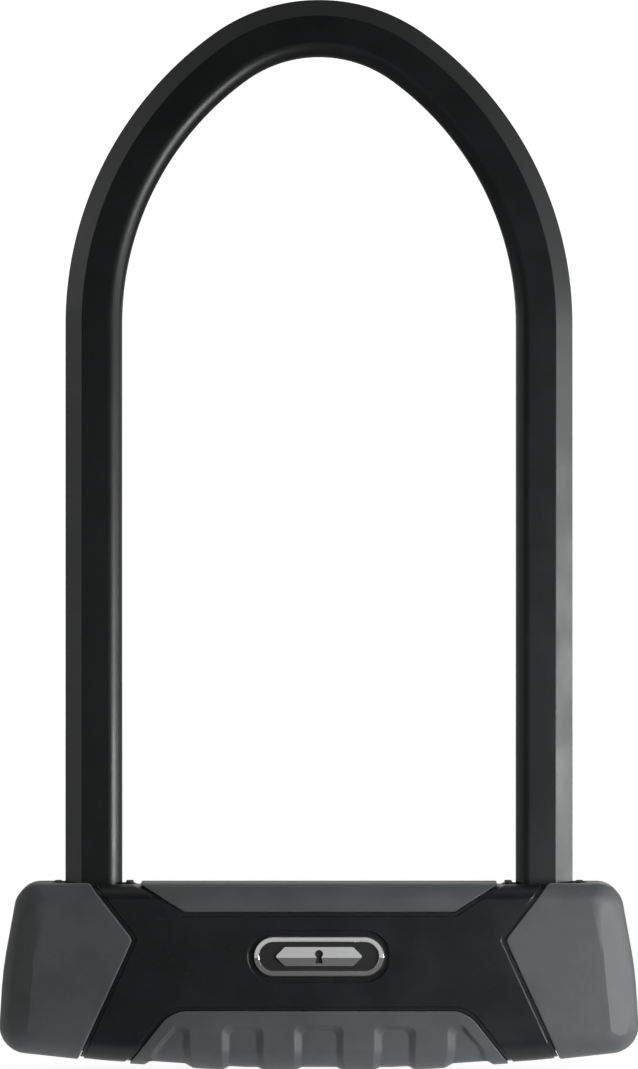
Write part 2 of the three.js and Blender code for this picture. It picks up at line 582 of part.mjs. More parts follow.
const SIDES = [["left", -1], ["right", 1]];
const [covers, housing, cylinder, shackle, plug, keyhole, badge] = Array.from({ length: 7 }, () => new THREE.Group());
lock.add(covers, housing, cylinder, shackle, plug, keyhole, badge);

add(covers, "cross_cover_front", BLACK_COVER, crossCover(-1));
add(covers, "cross_cover_rear", BLACK_COVER, crossCover(1));
add(covers, "top_strip", GREY_GRIP, topStrip());
add(covers, "grip_strip", GREY_GRIP, gripStrip());
add(covers, "inner_case_front", BLACK_CASE, innerCase(-1));
add(covers, "inner_case_rear", BLACK_CASE, innerCase(1));
add(housing, "housing_tube", HARD_STEEL, housingTube());
add(housing, "cylinder_carrier", HARD_STEEL, cylinderCarrier());
for (const [word, side] of SIDES) {
  add(covers, `end_cap_${word}`, GREY_GRIP, endCap(side));
  add(covers, `leg_seal_${word}`, SEAL_RUBBER, legSeal(side));
  BOSSES.forEach((boss, i) => add(covers, `case_screw_${word}_${i + 1}`, DARK_STEEL, caseScrew(side, boss)));
  add(housing, `end_plate_${word}`, HARD_STEEL, endPlate(side));
  add(housing, `end_pin_${word}`, DARK_STEEL, endPin(side));
  add(housing, `socket_block_${word}`, HARD_STEEL, socketBlock(side));
  add(housing, `bolt_guide_${word}`, DARK_STEEL, boltGuide(side));
  add(housing, `deadbolt_${word}`, HARD_STEEL, deadbolt(side));
  add(cylinder, `barrel_pin_${word}`, DARK_STEEL, barrelPin(side));
}
add(shackle, "shackle_bar", HARD_STEEL, shackleBar());
add(shackle, "shackle_sleeve", BLACK_SLEEVE, shackleSleeve());
add(cylinder, "cylinder_barrel", BRASS, cylinderBarrel());
add(cylinder, "retaining_clip", DARK_STEEL, retainingClip());
add(plug, "plug_core", BRASS, plugCore());
add(plug, "face_disc", HARD_STEEL, keyDisc(PLUG.z0 + 0.1, 2.3, false));
for (let i = 0; i < DISC.count; i += 1) {
  const z0 = DISC.z0 + i * DISC.pitch;
  add(plug, `key_disc_${i + 1}`, BRASS, keyDisc(z0, DISC.height));
  if (i) add(plug, `disc_spacer_${i}`, DARK_STEEL, keyDisc(z0 - RUNNING - 0.4, 0.4));
}
add(plug, "side_bar", HARD_STEEL, sideBar());
add(plug, "cam_plate", HARD_STEEL, camPlate());
add(keyhole, "shutter_guide", BLACK_CASE, shutterGuide());
add(keyhole, "keyhole_shutter", BLACK_COVER, keyholeShutter());
add(keyhole, "shutter_spring", DARK_STEEL, shutterSpring());
add(badge, "badge_plate", BLACK_CASE, badgePlate());
add(badge, "badge_rim", CHROME, badgeRim());
add(badge, "badge_emblem", CHROME, badgeEmblem());

export default lock;
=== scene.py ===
"""A bicycle U lock in a pale studio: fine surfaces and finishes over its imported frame.

Pieces are shaped in millimetres and brought to metres when they are finished. +Z is up and -Y is the front.
"""

import json
import logging
import math
from collections.abc import Callable, Iterator, Sequence
from contextlib import contextmanager
from dataclasses import dataclass, field
from enum import Enum

import bmesh
import bpy
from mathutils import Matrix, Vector


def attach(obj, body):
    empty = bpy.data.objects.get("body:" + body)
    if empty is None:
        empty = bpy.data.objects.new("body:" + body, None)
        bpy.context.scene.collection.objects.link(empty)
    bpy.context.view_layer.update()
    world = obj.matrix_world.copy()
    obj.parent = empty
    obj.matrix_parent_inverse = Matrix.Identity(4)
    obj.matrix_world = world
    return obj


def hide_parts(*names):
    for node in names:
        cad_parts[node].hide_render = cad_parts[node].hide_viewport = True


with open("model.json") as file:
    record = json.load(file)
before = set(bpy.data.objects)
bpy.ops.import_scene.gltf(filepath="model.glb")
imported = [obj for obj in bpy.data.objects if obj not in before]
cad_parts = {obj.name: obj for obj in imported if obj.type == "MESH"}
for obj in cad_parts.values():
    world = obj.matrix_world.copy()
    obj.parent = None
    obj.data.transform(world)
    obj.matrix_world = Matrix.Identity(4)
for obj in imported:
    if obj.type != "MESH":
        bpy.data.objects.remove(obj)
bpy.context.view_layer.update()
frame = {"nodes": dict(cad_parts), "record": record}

log = logging.getLogger("u_lock")

Corner = tuple[float, float, float]
Colour = tuple[float, float, float]
Object, Material = bpy.types.Object, bpy.types.Material
Node, NodeTree, Socket = bpy.types.Node, bpy.types.NodeTree, bpy.types.NodeSocket
Finishes = dict[str, Material]

MM = 0.001
NEAR = 1e-3  # Places closer than this, in millimetres, count as one.
FACET = 8.0  # Degrees that one facet of a rounded corner turns.
ROD_SIDES = 64
RIM = "rim"  # The face attribute that marks softened edges.
SIDES = (("left", -1), ("right", 1))


class Axis(Enum):
    """The direction in which an outline is extruded."""

    X = 0
    Y = 1
    Z = 2

    def place(self, u: float, v: float, level: float) -> Vector:
        """The point of an outline's (u, v) at a level along this axis."""
        return Vector({Axis.X: (level, u, v), Axis.Y: (u, level, v), Axis.Z: (u, v, level)}[self])

    def along(self, distance: float) -> Vector:
        """A step along this axis."""
        return self.place(0.0, 0.0, distance)


class Part(Enum):
    """What a selection in edit mode picks from."""

    VERT = "verts"
    EDGE = "edges"
    FACE = "faces"


class Cut(Enum):
    """How one solid changes another."""

    AWAY = "DIFFERENCE"
    COMMON = "INTERSECT"
    JOIN = "UNION"


# ---------------------------------------------------------------- outlines


def offset(corners: Sequence[Corner], distance: float) -> list[Corner]:
    """Moves the edges of an anticlockwise outline outwards, parallel to themselves.

    Args:
        corners: (u, v, radius) corners.
        distance: How far outwards; negative moves them in.

    Returns:
        The moved corners, with their radii.
    """
    moved = []
    count = len(corners)
    for i, (u, v, radius) in enumerate(corners):
        normals = []
        for a, b in ((corners[i - 1], corners[i]), (corners[i], corners[(i + 1) % count])):
            normals.append(Vector((b[1] - a[1], a[0] - b[0])).normalized())
        shift = (normals[0] + normals[1]) * (distance / (1 + normals[0].dot(normals[1])))
        moved.append((u + shift.x, v + shift.y, radius))
    return moved


def mirrored(corners: Sequence[Corner]) -> list[Corner]:
    """The outline turned left to right, still anticlockwise."""
    return [(-u, v, radius) for u, v, radius in reversed(corners)]


def square(half: float, radius: float, u: float) -> list[Corner]:
    """A square with rounded corners, centred on (u, 0)."""
    return rectangle(2 * half, 2 * half, radius, u)


def rectangle(width: float, height: float, radius: float, u: float = 0.0,
              v: float = 0.0) -> list[Corner]:
    """An anticlockwise rectangle with rounded corners, centred on (u, v)."""
    a, b = width / 2, height / 2
    return [(u - a, v - b, radius), (u + a, v - b, radius), (u + a, v + b, radius), (u - a, v + b, radius)]


# ---------------------------------------------------------------- modelling steps


def activate(obj: Object) -> None:
    """Makes one object the only selected and the active one."""
    bpy.ops.object.select_all(action="DESELECT")
    obj.select_set(True)
    bpy.context.view_layer.objects.active = obj


@contextmanager
def editing(obj: Object) -> Iterator[None]:
    """Edit mode on one object."""
    activate(obj)
    bpy.ops.object.mode_set(mode="EDIT")
    yield
    bpy.ops.object.mode_set(mode="OBJECT")


def pick(obj: Object, part: Part, test: Callable[..., bool]) -> int:
    """Selects only what passes a test, in edit mode.

    Args:
        obj: The object in edit mode.
        part: Whether vertices, edges or faces are tested.
        test: Takes one of them and says whether it is wanted.

    Returns:
        How many were selected.
    """
    bpy.ops.mesh.select_mode(type=part.name)
    bpy.ops.mesh.select_all(action="DESELECT")
    mesh = bmesh.from_edit_mesh(obj.data)
    wanted = [element for element in getattr(mesh, part.value) if test(element)]
    for element in wanted:
        element.select_set(True)
    mesh.select_flush_mode()
    bmesh.update_edit_mesh(obj.data)
    return len(wanted)


def pick_flat(obj: Object, axis: Axis, level: float, side: int = 0) -> None:
    """Selects the faces that lie flat at a level along an axis, in edit mode.

    Args:
        obj: The object in edit mode.
        axis: The axis they lie across.
        level: Their level along it.
        side: The side of X they are on, as -1 or 1, or 0 for both.
    """
    pick(obj, Part.FACE, lambda face: all(
        abs(vertex.co[axis.value] - level) < NEAR and side * vertex.co.x >= 0 for vertex in face.verts))


def draw_out(move: Sequence[float]) -> None:
    """Extrudes what is selected by a move, in edit mode."""
    bpy.ops.mesh.extrude_region_move(TRANSFORM_OT_translate={"value": move})


def close_up() -> None:
    """Merges doubled vertices and turns every face outwards, in edit mode."""
    bpy.ops.mesh.select_all(action="SELECT")
    bpy.ops.mesh.remove_doubles(threshold=NEAR)
    bpy.ops.mesh.normals_make_consistent(inside=False)


def block(name: str, corners: Sequence[Corner], axis: Axis, low: float, high: float) -> Object:
    """An outline extruded along an axis, with its corners rounded.

    Args:
        name: Name of the object.
        corners: (u, v, radius) corners, anticlockwise.
        axis: Direction of the extrusion.
        low: Level of the first face.
        high: Level of the last face.

    Returns:
        The closed solid.
    """
    bpy.ops.object.select_all(action="DESELECT")
    bpy.ops.mesh.primitive_circle_add(vertices=len(corners), radius=1.0, fill_type="NGON")
    obj = bpy.context.object
    obj.name = name
    with editing(obj):
        for index, (u, v, _) in enumerate(corners):
            pick(obj, Part.VERT, lambda vertex, index=index: vertex.index == index)
            start = bmesh.from_edit_mesh(obj.data)
            start.verts.ensure_lookup_table()
            move = axis.place(u, v, low) - start.verts[index].co
            bpy.ops.transform.translate(value=move)
        bpy.ops.mesh.select_mode(type="FACE")
        bpy.ops.mesh.select_all(action="SELECT")
        draw_out(axis.along(high - low))
        bpy.ops.mesh.select_all(action="SELECT")
        bpy.ops.mesh.normals_make_consistent(inside=False)
        round_corners(obj, corners, axis, low, high)
    return obj


def round_corners(obj: Object, corners: Sequence[Corner], axis: Axis, low: float,
                  high: float) -> None:
    """Bevels the edges that an outline's corners left along an axis, each by its own radius."""
    count = len(corners)
    for i, (u, v, radius) in enumerate(corners):
        if not radius:
            continue
        here = Vector((u, v))
        back = (Vector(corners[i - 1][:2]) - here).normalized()
        ahead = (Vector(corners[(i + 1) % count][:2]) - here).normalized()
        half = math.acos(max(-1.0, min(1.0, back.dot(ahead)))) / 2
        ends = (axis.place(u, v, low), axis.place(u, v, high))

        def runs_between(edge: bmesh.types.BMEdge, ends: tuple[Vector, Vector] = ends) -> bool:
            """Whether an edge joins the two ends of this corner."""
            places = [vertex.co for vertex in edge.verts]
            return all(min((place - end).length for place in places) < NEAR for end in ends)

        if pick(obj, Part.EDGE, runs_between):
            sweep = math.pi - 2 * half
            steps = max(2, math.ceil(sweep / math.radians(FACET)))
            bpy.ops.mesh.bevel(offset_type="OFFSET", offset=radius / math.tan(half), segments=steps,
                               profile=0.5, affect="EDGES", clamp_overlap=False)


def rod(name: str, radius: float, axis: Axis, low: float, high: float, u: float = 0.0,
        v: float = 0.0) -> Object:
    """A round bar along an axis, through (u, v)."""
    turns = {Axis.X: (0.0, math.pi / 2, 0.0), Axis.Y: (math.pi / 2, 0.0, 0.0), Axis.Z: (0.0, 0.0, 0.0)}
    bpy.ops.object.select_all(action="DESELECT")
    bpy.ops.mesh.primitive_cylinder_add(vertices=ROD_SIDES, radius=radius, depth=high - low,
                                        rotation=turns[axis], location=axis.place(u, v, (low + high) / 2))
    obj = bpy.context.object
    obj.name = name
    bpy.ops.object.transform_apply(location=True, rotation=True, scale=True)
    return obj


def copy_of(obj: Object, name: str) -> Object:
    """A copy of an object with a mesh of its own."""
    activate(obj)
    bpy.ops.object.duplicate(linked=False)
    made = bpy.context.object
    made.name = name
    return made


def modify(obj: Object, kind: str, **settings: object) -> None:
    """Puts a modifier on an object and applies it."""
    modifier = obj.modifiers.new(kind.lower(), kind)
    for key, value in settings.items():
        setattr(modifier, key, value)
    activate(obj)
    bpy.ops.object.modifier_apply(modifier=modifier.name)


def combine(obj: Object, tool: Object, cut: Cut = Cut.AWAY, keep: bool = False) -> None:
    """Cuts or joins one solid with another, and clears the tool away unless it is kept."""
    modify(obj, "BOOLEAN", operation=cut.value, object=tool, solver="EXACT")
    if not keep:
        bpy.data.objects.remove(tool)


def clean(obj: Object, distance: float = 0.01) -> None:
    """Merges vertices that cuts left almost on each other."""
    with editing(obj):
        bpy.ops.mesh.select_all(action="SELECT")
        bpy.ops.mesh.remove_doubles(threshold=distance)
        bpy.ops.mesh.dissolve_degenerate(threshold=distance)


def soften(obj: Object, width: float, segments: int = 3, sharpest: float = 30.0) -> None:
    """Rounds every sharp edge, and marks the new faces as the piece's rim.

    Args:
        obj: The piece, in millimetres.
        width: Width of the rounding.
        segments: Faces across the rounding.
        sharpest: Edges that turn by more than this many degrees are rounded.
    """
    clean(obj)
    obj.data.materials.clear()
    for _ in range(2):
        obj.data.materials.append(None)
    modify(obj, "BEVEL", width=width, segments=segments, limit_method="ANGLE",
           angle_limit=math.radians(sharpest), use_clamp_overlap=False, material=1)
    rim = obj.data.attributes.new(RIM, "FLOAT", "FACE")
    for polygon, value in zip(obj.data.polygons, rim.data):
        value.value = float(polygon.material_index == 1)
        polygon.material_index = 0
    clean(obj, 0.002)


def deliver(obj: Object, body: str, slot: str, material: Material, *nodes: str,
            angle: float = 40.0) -> None:
    """Smooths a finished piece, brings it to metres, dresses it and hands it to its body.

    Faces of many sides are split while they are still in millimetres, where their short edges are safe.

    Args:
        obj: The piece, in millimetres.
        body: The body it rides on.
        slot: The record's material slot of its finish; not used.
        material: Its material.
        nodes: The nodes it stands for.
        angle: Edges sharper than this many degrees stay sharp.
    """
    activate(obj)
    bpy.ops.object.shade_smooth_by_angle(angle=math.radians(angle))
    modify(obj, "WEIGHTED_NORMAL", keep_sharp=True)
    modify(obj, "TRIANGULATE", min_vertices=5, keep_custom_normals=True)
    obj.scale = (MM, MM, MM)
    bpy.ops.object.transform_apply(location=True, rotation=True, scale=True)
    obj.data.materials.clear()
    obj.data.materials.append(material)
    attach(obj, body)
    if nodes:
        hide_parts(*nodes)
    log.info("%s rides on %s, %d faces", obj.name, body, len(obj.data.polygons))


# ---------------------------------------------------------------- finishes


WHITE = (1.0, 1.0, 1.0, 1.0)
DUST: Colour = (0.32, 0.31, 0.29)
TONE = (0.86, 1.12)  # The darkest and lightest mottle, as shares of a moulding's colour.
ROUGHNESS_SPREAD = 0.07  # How much a moulding's roughness follows its mottle.
MIX_INPUTS, MIX_RESULT = (0, 6, 7), 2  # A colour mix's factor, colours and result, whose names repeat.


class Sheet:
    """A node tree being wired."""

    def __init__(self, tree: NodeTree) -> None:
        """Clears the tree.

        Args:
            tree: The tree to wire.
        """
        self.tree = tree
        tree.nodes.clear()

    def feed(self, socket: Socket, value: object) -> None:
        """Links a socket to another, or sets its value."""
        if isinstance(value, Socket):
            self.tree.links.new(value, socket)
        else:
            socket.default_value = value

    def add(self, kind: str, **values: object) -> Node:
        """Adds a node.

        A value feeds the input of its name, with _ for a space, or else sets the node's property.
        """
        node = self.tree.nodes.new(kind)
        for key, value in values.items():
            socket = node.inputs.get(key.replace("_", " "))
            if socket is None:
                setattr(node, key, value)
            else:
                self.feed(socket, value)
        return node

    def place(self, system: str = "Object") -> Socket:
        """Texture coordinates."""
        return self.add("ShaderNodeTexCoord").outputs[system]

    def math(self, operation: str, *values: object, clamp: bool = False) -> Socket:
        """A math node on numbers or sockets."""
        node = self.add("ShaderNodeMath", operation=operation, use_clamp=clamp)
        for socket, value in zip(node.inputs, values):
            self.feed(socket, value)
        return node.outputs[0]

    def mix(self, factor: Socket, a: object, b: object) -> Socket:
        """Blends two colours or sockets by a factor."""
        node = self.add("ShaderNodeMix", data_type="RGBA")
        for index, value in zip(MIX_INPUTS, (factor, a, b)):
            self.feed(node.inputs[index], (*value, 1.0) if isinstance(value, tuple) else value)
        return node.outputs[MIX_RESULT]

    def ramp(self, value: Socket, low: float, high: float, start: float = 0.0,
             end: float = 1.0) -> Socket:
        """Eases from start, where the value is low, to end, where it is high."""
        return self.add("ShaderNodeMapRange", interpolation_type="SMOOTHSTEP", Value=value, From_Min=low,
                        From_Max=high, To_Min=start, To_Max=end).outputs[0]

    def noise(self, vector: Socket, scale: object, detail: float,
              roughness: float = 0.5) -> Socket:
        """Noise over a vector."""
        return self.add("ShaderNodeTexNoise", Vector=vector, Scale=scale, Detail=detail,
                        Roughness=roughness).outputs[0]

    def surface(self, height: Socket, depth: float, distance: float, **looks: object) -> None:
        """Wires a surface with a bump to the material's output."""
        bump = self.add("ShaderNodeBump", Height=height, Strength=depth, Distance=distance)
        shader = self.add("ShaderNodeBsdfPrincipled", Normal=bump.outputs[0], **looks)
        self.add("ShaderNodeOutputMaterial", Surface=shader.outputs[0])


def new_material(name: str) -> tuple[Material, Sheet]:
    """An empty material and its sheet."""
    material = bpy.data.materials.new(name)
    material.use_nodes = True
    return material, Sheet(material.node_tree)


def new_group(name: str, inputs: dict[str, float], outputs: Sequence[str]) -> tuple[
        Sheet, Node, Node]:
    """An empty shader group with float sockets.

    Args:
        name: Name of the group.
        inputs: Input names and their defaults.
        outputs: Output names.

    Returns:
        The group's sheet, and its input and output nodes.
    """
    tree = bpy.data.node_groups.new(name, "ShaderNodeTree")
    sockets = tree.interface
    for key, default in inputs.items():
        sockets.new_socket(key, in_out="INPUT", socket_type="NodeSocketFloat").default_value = default
    for key in outputs:
        sockets.new_socket(key, in_out="OUTPUT", socket_type="NodeSocketFloat")
    sheet = Sheet(tree)
    return sheet, sheet.add("NodeGroupInput"), sheet.add("NodeGroupOutput")


def shade(colour: Colour, share: float) -> Colour:
    """A colour darkened or lightened by a factor."""
    return tuple(min(1.0, share * value) for value in colour)


class Effects:
    """Surface effects that several finishes share, each one node group."""

    def __init__(self) -> None:
        """Builds the groups."""
        self.grain = self._grain()
        self.highlight_and_rub = self._highlight_and_rub()
        self.dust = self._dust()
        self.lines = self._lines()

    @staticmethod
    def _grain() -> NodeTree:
        """Moulded grain: fine pebbles of a given size, and a slow mottle."""
        sizes = {"Pebbles": 2600.0, "Mottle": 60.0}
        sheet, given, out = new_group("moulded_grain", sizes, ("Height", "Tone"))
        place, size = sheet.place(), given.outputs["Pebbles"]
        pebbles = sheet.add("ShaderNodeTexVoronoi", Vector=place, feature="SMOOTH_F1", Scale=size,
                            Smoothness=0.6)
        height = sheet.math("ADD", sheet.math("MULTIPLY", pebbles.outputs["Distance"], 0.7),
                            sheet.math("MULTIPLY", sheet.noise(place, size, 2.0), 0.5))
        mottle = sheet.noise(place, given.outputs["Mottle"], 5.0, 0.6)
        sheet.feed(out.inputs["Height"], height)
        sheet.feed(out.inputs["Tone"], sheet.ramp(mottle, 0.3, 0.7))
        return sheet.tree

    @staticmethod
    def _highlight_and_rub() -> NodeTree:
        """Edges painted a little brighter, broken up along their length: a painted highlight on the softened
        edges that also stands for light rubbing.
        """
        sheet, given, out = new_group("edge_rub", {"Amount": 0.5, "Scale": 220.0}, ("Mask",))
        rim = sheet.add("ShaderNodeAttribute", attribute_name=RIM)
        broken = sheet.noise(sheet.place(), given.outputs["Scale"], 4.0)
        mask = sheet.math("MULTIPLY", rim.outputs["Fac"], sheet.ramp(broken, 0.35, 0.75))
        sheet.feed(out.inputs["Mask"], sheet.math("MULTIPLY", mask, given.outputs["Amount"]))
        return sheet.tree

    @staticmethod
    def _dust() -> NodeTree:
        """A film of dust that settles on what faces up, and specks."""
        sheet, given, out = new_group("settled_dust", {"Amount": 0.2}, ("Mask",))
        place = sheet.place()
        up = sheet.add("ShaderNodeSeparateXYZ", Vector=sheet.place("Normal")).outputs["Z"]
        film = sheet.ramp(sheet.noise(place, 45.0, 6.0), 0.3, 0.8)
        specks = sheet.ramp(sheet.noise(place, 1900.0, 1.0), 0.68, 0.74)
        cover = sheet.math("MULTIPLY", sheet.ramp(up, 0.2, 1.0), film)
        mask = sheet.math("ADD", cover, sheet.math("MULTIPLY", specks, 0.6), clamp=True)
        sheet.feed(out.inputs["Mask"], sheet.math("MULTIPLY", mask, given.outputs["Amount"]))
        return sheet.tree

    @staticmethod
    def _lines() -> NodeTree:
        """Grinding lines: noise drawn out by a different scale on each axis."""
        scales = {"X": 900.0, "Y": 900.0, "Z": 60.0}
        sheet, given, out = new_group("grinding_lines", scales, ("Height", "Tone"))
        stretch = sheet.add("ShaderNodeCombineXYZ", **{axis: given.outputs[axis] for axis in scales})
        drawn = sheet.add("ShaderNodeVectorMath", operation="MULTIPLY")
        for socket, value in zip(drawn.inputs, (sheet.place(), stretch.outputs[0])):
            sheet.feed(socket, value)
        sheet.feed(out.inputs["Height"], sheet.noise(drawn.outputs[0], 3.0, 3.0))
        sheet.feed(out.inputs["Tone"], sheet.ramp(sheet.noise(drawn.outputs[0], 0.35, 4.0), 0.3, 0.7))
        return sheet.tree


@dataclass(frozen=True)
class Moulding:
    """A moulded plastic or rubber.

    Attributes:
        name: Name of the material.
        base: Its colour.
        edge_highlight_and_wear: Its colour on the softened edges: a painted highlight that also stands for
            light wear.
        roughness: Roughness of the clean surface.
        pebbles: Grain per metre.
        depth: Strength of the grain's bump.
        highlight_and_rub: How much the painted edge highlight, which also stands for light rubbing, shows.
        dust: How much dust lies on it.
        sheen: Weight of the soft sheen of a rubbery coat.
    """

    name: str
    base: Colour
    edge_highlight_and_wear: Colour
    roughness: float
    pebbles: float = 2600.0
    depth: float = 0.12
    highlight_and_rub: float = 0.5
    dust: float = 0.12
    sheen: float = 0.0

    def make(self, effects: Effects) -> Material:
        """Wires the material."""
        material, sheet = new_material(self.name)
        grain = sheet.add("ShaderNodeGroup", node_tree=effects.grain, Pebbles=self.pebbles)
        highlight_and_rub = sheet.add("ShaderNodeGroup", node_tree=effects.highlight_and_rub, Amount=self.highlight_and_rub)
        dust = sheet.add("ShaderNodeGroup", node_tree=effects.dust, Amount=self.dust)
        tone, film = grain.outputs["Tone"], dust.outputs["Mask"]
        colour = sheet.mix(tone, *(shade(self.base, share) for share in TONE))
        # Painted highlight: the softened edges are painted lighter, partly standing for light rubbing.
        colour = sheet.mix(highlight_and_rub.outputs["Mask"], colour, self.edge_highlight_and_wear)
        colour = sheet.mix(film, colour, DUST)
        rough = sheet.math("MULTIPLY_ADD", tone, ROUGHNESS_SPREAD, self.roughness - ROUGHNESS_SPREAD / 2)
        rough = sheet.math("ADD", rough, sheet.math("MULTIPLY", film, 0.5), clamp=True)
        sheet.surface(grain.outputs["Height"], self.depth, 0.0002, Base_Color=colour, Roughness=rough,
                      Sheen_Weight=self.sheen, Sheen_Roughness=0.4)
        return material


@dataclass(frozen=True)
class Metal:
    """A metal with grinding or turning lines.

    Attributes:
        name: Name of the material.
        base: Its colour.
        dull: Its colour where it is stained or oiled.
        roughness: Roughness between the lines.
        lines: How close the lines are along X, Y and Z.
        depth: Strength of the lines' bump.
        spread: How much the roughness changes over the surface.
    """

    name: str
    base: Colour
    dull: Colour
    roughness: float
    lines: tuple[float, float, float] = (900.0, 900.0, 60.0)
    depth: float = 0.08
    spread: float = 0.12

    def make(self, effects: Effects) -> Material:
        """Wires the material."""
        material, sheet = new_material(self.name)
        lines = sheet.add("ShaderNodeGroup", node_tree=effects.lines, **dict(zip("XYZ", self.lines)))
        highlight_and_rub = sheet.add("ShaderNodeGroup", node_tree=effects.highlight_and_rub, Amount=0.4)
        tone = lines.outputs["Tone"]
        colour = sheet.mix(tone, self.dull, self.base)
        # Painted highlight: the softened edges are painted lighter than the metal, partly standing for
        # rubbing.
        colour = sheet.mix(highlight_and_rub.outputs["Mask"], colour, shade(self.base, 1.15))
        rough = sheet.math("MULTIPLY_ADD", tone, -self.spread, self.roughness + self.spread / 2)
        sheet.surface(lines.outputs["Height"], self.depth, 0.0001, Base_Color=colour, Roughness=rough,
                      Metallic=1.0)
        return material


FINISHES: dict[str, Moulding | Metal] = {finish.name: finish for finish in (
    Moulding("grey_soft_plastic", (0.066, 0.073, 0.074), (0.12, 0.125, 0.125), 0.56, pebbles=3000.0,
             depth=0.16, highlight_and_rub=0.35, dust=0.08, sheen=0.12),
    Moulding("black_cover_plastic", (0.0062, 0.0084, 0.0090), (0.024, 0.028, 0.029), 0.33, pebbles=2200.0,
             depth=0.07, highlight_and_rub=0.4, dust=0.06),
    Moulding("black_case_plastic", (0.004, 0.0045, 0.005), (0.01, 0.01, 0.011), 0.6, highlight_and_rub=0.2, dust=0.05),
    Moulding("black_sleeve", (0.0046, 0.0066, 0.0072), (0.018, 0.021, 0.022), 0.38, pebbles=1700.0,
             depth=0.08, highlight_and_rub=0.3, dust=0.05),
    Moulding("seal_rubber", (0.007, 0.008, 0.008), (0.02, 0.02, 0.02), 0.62, pebbles=1400.0, depth=0.12,
             highlight_and_rub=0.3, dust=0.15),
    Metal("hardened_steel", (0.52, 0.53, 0.54), (0.36, 0.36, 0.365), 0.32),
    Metal("dark_steel", (0.2, 0.2, 0.205), (0.11, 0.105, 0.1), 0.4),
    Metal("brass", (0.78, 0.58, 0.27), (0.55, 0.37, 0.15), 0.3, lines=(300.0, 300.0, 1500.0)),
    Metal("chrome", (0.86, 0.865, 0.87), (0.78, 0.785, 0.79), 0.13, lines=(60.0, 60.0, 60.0), depth=0.01,
          spread=0.06),
)}


# ---------------------------------------------------------------- bow


@dataclass
class Bow:
    """The steel bar bent to a pointed arch, and the sleeve over it.

    Attributes:
        leg_x: Middle of each leg.
        side_centre: Centre, as X and Z, of the long bend over the right leg.
        side_sweep: Degrees of the long bend.
        crown_centre: Centre of the tight bend at the crown.
        sleeve_half: Half the width of the sleeved bar.
        bar_half: Half the width of the bar.
        sleeve_bottom: Where the sleeve ends, inside the collars.
        bar_bottom: Where the legs end.
        notch: Depth of a bolt's notch, from the leg's middle, and its lowest and highest level.
        taper: How far the feet's ends are rounded in.
    """

    leg_x: float = 62.2
    side_centre: tuple[float, float] = (-28.75, 205.9)
    side_sweep: float = 54.0
    crown_centre: tuple[float, float] = (0.0, 245.47)
    sleeve_half: float = 7.8
    bar_half: float = 6.5
    sleeve_bottom: float = 47.3
    bar_bottom: float = 15.0
    notch: tuple[float, float, float] = (1.0, 36.4, 44.4)
    taper: float = 1.4

    def section(self, half: float, chamfer: float, inner: float, crease: float) -> list[Corner]:
        """The bar's section on the right leg: chamfered outwards, rounded towards the inside of the bow.

        Args:
            half: Half its width.
            chamfer: Size of the outer chamfers.
            inner: Radius of the inner corners.
            crease: Radius left on the chamfers' edges.

        Returns:
            Its corners in X and Y.
        """
        x, flat = self.leg_x, half - chamfer
        return [(x + half, -flat, crease), (x + half, flat, crease), (x + flat, half, crease),
                (x - half, half, inner), (x - half, -half, inner), (x + flat, -half, crease)]

    def sweep(self, name: str, section: Sequence[Corner], bottom: float) -> Object:
        """Carries a section up the right leg, over the arch and down the left leg.

        Args:
            name: Name of the object.
            section: Its corners on the right leg.
            bottom: Level of the feet.

        Returns:
            The closed solid.
        """
        cx, cz = self.side_centre
        kx, kz = self.crown_centre
        obj = block(name, section, Axis.Z, bottom, cz)
        with editing(obj):
            pick_flat(obj, Axis.Z, cz)
            bends = (((cx, 0.0, cz), self.side_sweep, 36), ((kx, 0.0, kz), 180 - 2 * self.side_sweep, 48),
                     ((-cx, 0.0, cz), self.side_sweep, 36))
            for centre, degrees, steps in bends:
                bpy.ops.mesh.spin(steps=steps, angle=math.radians(degrees), center=centre,
                                  axis=(0.0, 1.0, 0.0), use_auto_merge=False)
            draw_out((0.0, 0.0, bottom - cz))
            close_up()
        return obj

    def sleeve(self, material: Material) -> None:
        """The sleeve, with a rounded lip and a mouth round the bar at each foot."""
        obj = self.sweep("bow_sleeve", self.section(self.sleeve_half, 4.6, 3.9, 0.4), self.sleeve_bottom)
        with editing(obj):
            pick_flat(obj, Axis.Z, self.sleeve_bottom)
            bpy.ops.mesh.inset(thickness=0.35, depth=0.3, use_individual=True)
            bpy.ops.mesh.inset(thickness=0.75, use_individual=True)
            draw_out((0.0, 0.0, 14.0))
        deliver(obj, "bow", "black_sleeve", material, "shackle_sleeve", angle=50.0)

    def bar(self, material: Material) -> None:
        """The steel bar, with tapered feet and a notch in each for a bolt."""
        ankle, steps = self.bar_bottom + self.taper, 4
        obj = self.sweep("bow_bar", self.section(self.bar_half, 3.2, 3.0, 0.3), ankle)
        with editing(obj):
            for side in (-1, 1):
                pick_flat(obj, Axis.Z, ankle, side)
                low, half = 0.0, self.bar_half
                for step in range(1, steps + 1):
                    turn = math.radians(90.0 / steps * step)
                    lower = self.taper * math.sin(turn)
                    narrower = self.bar_half - self.taper * (1 - math.cos(turn))
                    draw_out((0.0, 0.0, low - lower))
                    bpy.ops.transform.resize(value=(narrower / half, narrower / half, 1.0),
                                             center_override=(side * self.leg_x, 0.0, 0.0))
                    low, half = lower, narrower
        deep, low, high = self.notch
        width = 12.0
        for side in (-1, 1):
            u = side * (self.leg_x - deep - width / 2)
            notch = rectangle(width, high - low, 1.0, u, (low + high) / 2)
            combine(obj, block("notch", notch, Axis.Y, -width, width))
        soften(obj, 0.25, 2, 35.0)
        deliver(obj, "bow", "hardened_steel", material, "shackle_bar")


# ---------------------------------------------------------------- crossbar


